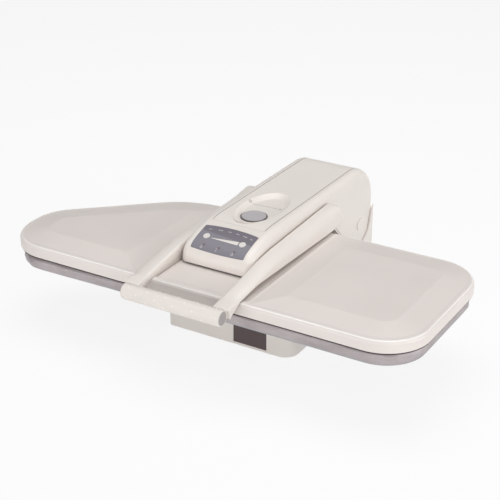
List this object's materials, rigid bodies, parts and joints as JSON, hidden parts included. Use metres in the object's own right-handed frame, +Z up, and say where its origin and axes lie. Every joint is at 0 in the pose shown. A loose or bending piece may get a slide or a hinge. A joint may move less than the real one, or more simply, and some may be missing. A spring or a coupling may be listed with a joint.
{
  "type": "steam ironing press",
  "caption": "Compact tabletop steam ironing press: padded board on a box base, hinged white press head with arm housing, toggle handle, steam button and control keys.",
  "frame": {"origin": "on the table, under the middle of the press", "axes": "+X along the board to the user's right, +Y away from the user towards the hinge column, +Z up"},
  "size_m": [0.66, 0.509, 0.18],
  "materials": {
    "white_plastic": "smooth moulding, soft gloss",
    "panel_grey": "fine satin",
    "fascia_grey": "fine matt, bluish grey",
    "button_grey": "soft gloss",
    "dark_trim": "matt",
    "key_white": "soft gloss",
    "lens": "clear",
    "grip_white": "fine stipple",
    "cap_grey": "smooth matt",
    "board_fabric": "silver grey coated weave",
    "pad_foam": "foam",
    "dark_plate": "dark, slightly satin",
    "black_plastic": "matt",
    "rubber": "matt",
    "frame_steel": "plated sheet",
    "bright_steel": "ground",
    "bush_brass": "satin",
    "sole_metal": "cast and polished",
    "circuit_board": "satin",
    "tank_plastic": "translucent"
  },
  "bodies": {
    "base": {"base_casing": "white_plastic", "front_plate": "dark_plate", "base_floor": "black_plastic", "floor_screws": "bright_steel", "column_cover": "white_plastic", "cord_gland": "black_plastic", "rubber_feet": "rubber", "hinge_frame": "frame_steel", "hinge_axle": "bright_steel", "anchor_pin": "bright_steel", "counterbalance_springs": "bright_steel", "axle_spacers": "frame_steel", "terminal_block": "black_plastic", "board_rails": "frame_steel", "board_tray": "frame_steel", "board_pad": "pad_foam", "board_cover": "board_fabric"},
    "head": {"sole_plate": "sole_metal", "heating_element": "bright_steel", "steam_chamber": "sole_metal", "thermostat": "black_plastic", "heat_shield": "frame_steel", "plate_cover": "white_plastic", "plate_studs": "frame_steel", "head_frame": "frame_steel", "hinge_bushes": "bush_brass", "shaft_bushes": "bush_brass", "housing_shell": "white_plastic", "top_panel": "panel_grey", "button_ring": "dark_trim", "steam_switch": "black_plastic", "button_spring": "bright_steel", "control_fascia": "fascia_grey", "indicator_lenses": "lens", "control_board": "circuit_board", "water_tank": "tank_plastic", "steam_pump": "black_plastic", "water_tube": "rubber", "steam_pipe": "rubber", "housing_underside": "white_plastic", "axle_caps": "white_plastic"},
    "handle": {"handle_arm_left": "white_plastic", "handle_arm_right": "white_plastic", "handle_shaft": "bright_steel", "toggle_crank": "frame_steel", "crank_pin": "bright_steel", "grip_sleeve": "grip_white", "grip_core": "frame_steel", "grip_caps": "cap_grey"},
    "link": {"toggle_link": "frame_steel"},
    "steam_button": {"steam_button": "button_grey"},
    "temperature_down_key": {"temperature_down_key": "key_white"},
    "temperature_up_key": {"temperature_up_key": "key_white"}
  },
  "joints": [
    {"name": "head_hinge", "type": "hinge", "parent": "base", "child": "head", "pos_m": [0, 0.204, 0.085], "axis": [-1, 0, 0], "range_deg": [0, 50]},
    {"name": "handle_pivot", "type": "hinge", "parent": "head", "child": "handle", "pos_m": [0, 0.082, 0.1508], "axis": [-1, 0, 0], "range_deg": [0, 30]},
    {"name": "link_pivot", "type": "hinge", "parent": "base", "child": "link", "pos_m": [0, 0.19437, 0.07784], "axis": [-1, 0, 0], "range_deg": [0, 50]},
    {"name": "steam_button_press", "type": "slide", "parent": "head", "child": "steam_button", "axis": [0, 0, -1], "range_m": [0, 0.003], "stiffness_N_per_m": 400, "springref_m": -0.004, "deforming": ["button_spring"]},
    {"name": "temperature_down_press", "type": "slide", "parent": "head", "child": "temperature_down_key", "axis": [0, 0.3188, -0.9478], "range_m": [0, 0.0008], "stiffness_N_per_m": 600, "springref_m": -0.001},
    {"name": "temperature_up_press", "type": "slide", "parent": "head", "child": "temperature_up_key", "axis": [0, 0.3188, -0.9478], "range_m": [0, 0.0008], "stiffness_N_per_m": 600, "springref_m": -0.001}
  ],
  "couplings": [
    {"joint": "handle_pivot", "follows": "head_hinge", "ratio": 0.6},
    {"joint": "link_pivot", "follows": "head_hinge", "ratio": 1}
  ]
}
